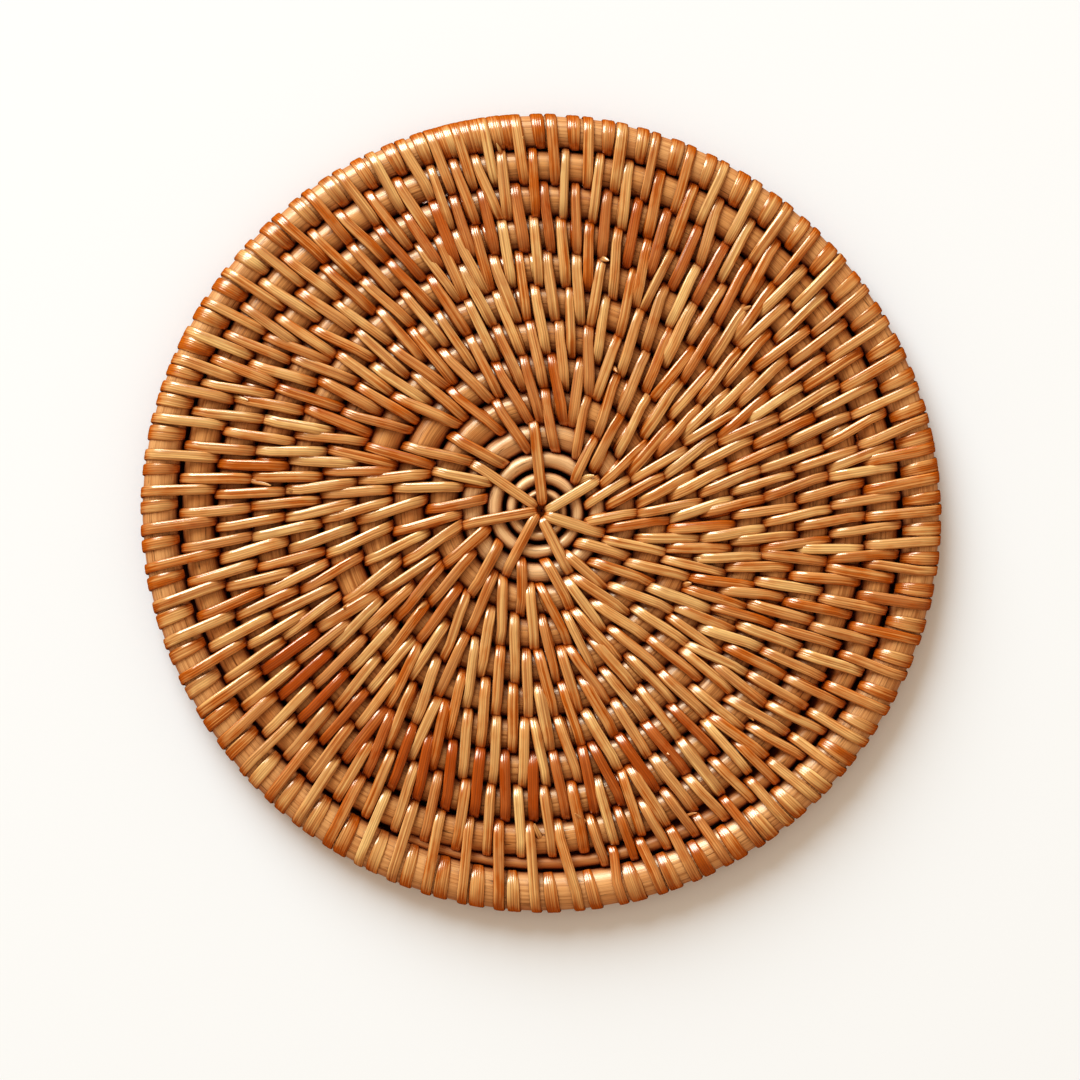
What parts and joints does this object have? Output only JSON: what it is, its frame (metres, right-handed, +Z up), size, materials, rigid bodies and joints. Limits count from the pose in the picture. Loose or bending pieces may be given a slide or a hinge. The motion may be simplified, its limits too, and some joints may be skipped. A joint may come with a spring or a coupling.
{
  "type": "coiled rattan trivet",
  "caption": "flat round trivet of thick rattan reed wound in a spiral inside a rim ring, lashed row to row with rattan peel",
  "frame": {"origin": "on the underside, at the middle of the rim's outline", "axes": "+Z is up through the thickness. +X and +Y lie in the mat's plane, with +Y at the top when the mat is seen from above. Seen so, the coil winds outwards clockwise and its tail dies away at 248 degrees from +X"},
  "size_m": [0.1806, 0.1804, 0.009],
  "materials": {
    "coil_rattan": "satin",
    "rim_rattan": "satin"
  },
  "bodies": {
    "root": {"coil": "coil_rattan", "rim": "rim_rattan"}
  },
  "joints": []
}
